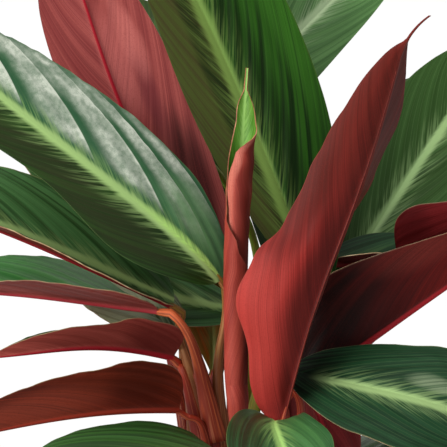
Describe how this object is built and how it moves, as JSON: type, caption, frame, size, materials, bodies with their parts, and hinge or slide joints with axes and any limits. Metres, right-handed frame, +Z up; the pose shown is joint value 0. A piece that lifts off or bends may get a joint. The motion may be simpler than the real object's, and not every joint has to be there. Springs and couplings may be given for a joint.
{
  "type": "potted prayer plant",
  "caption": "Potted stromanthe: long glossy green leaves with pale feathered midribs and burgundy undersides on red sheathed stalks, in a plain nursery pot.",
  "frame": {"origin": "centre of the flat foot of the pot, on the surface it stands on", "axes": "+Z up the plant; the show side faces -Y, +X to the right of it"},
  "size_m": [0.4224, 0.3824, 0.6004],
  "materials": {
    "pot_plastic": "plain dark nursery-pot plastic, satin, with faint moulding ribs",
    "potting_soil": "dark crumbly peat and bark, rough",
    "red_stalk": "orange-red to olive leaf stalks and sheaths, smooth, half gloss",
    "leaf_green_side": "glossy dark green blade with a pale yellow-green feathered midrib; burgundy underneath",
    "leaf_burgundy_side": "silky burgundy underside with fine parallel veins; green on the upper side"
  },
  "bodies": {
    "root": {"leaf_back_high": "leaf_green_side", "leaf_back_left": "leaf_green_side", "leaf_back_low_left": "leaf_green_side", "leaf_back_low_right": "leaf_green_side", "leaf_back_middle": "leaf_green_side", "leaf_back_right": "leaf_green_side", "leaf_behind_rolled": "leaf_green_side", "leaf_front": "leaf_green_side", "leaf_hanging": "leaf_burgundy_side", "leaf_left_arching": "leaf_burgundy_side", "leaf_left_behind": "leaf_green_side", "leaf_left_broad": "leaf_green_side", "leaf_left_drooping": "leaf_green_side", "leaf_left_folded": "leaf_burgundy_side", "leaf_left_level": "leaf_green_side", "leaf_left_under_broad": "leaf_green_side", "leaf_low_front": "leaf_green_side", "leaf_low_left": "leaf_green_side", "leaf_low_right": "leaf_green_side", "leaf_right_behind": "leaf_green_side", "leaf_right_folded": "leaf_burgundy_side", "leaf_right_high": "leaf_burgundy_side", "leaf_right_spreading": "leaf_green_side", "leaf_right_upright": "leaf_green_side", "leaf_rolled": "leaf_burgundy_side", "leaf_top_left": "leaf_burgundy_side", "leaf_top_middle": "leaf_green_side", "leaf_top_right": "leaf_green_side", "leaf_unfurling": "leaf_burgundy_side", "pot": "pot_plastic", "soil": "potting_soil", "stalks_back": "red_stalk", "stalks_back_left": "red_stalk", "stalks_back_right": "red_stalk", "stalks_left": "red_stalk", "stalks_middle": "red_stalk", "stalks_right": "red_stalk"}
  },
  "joints": []
}
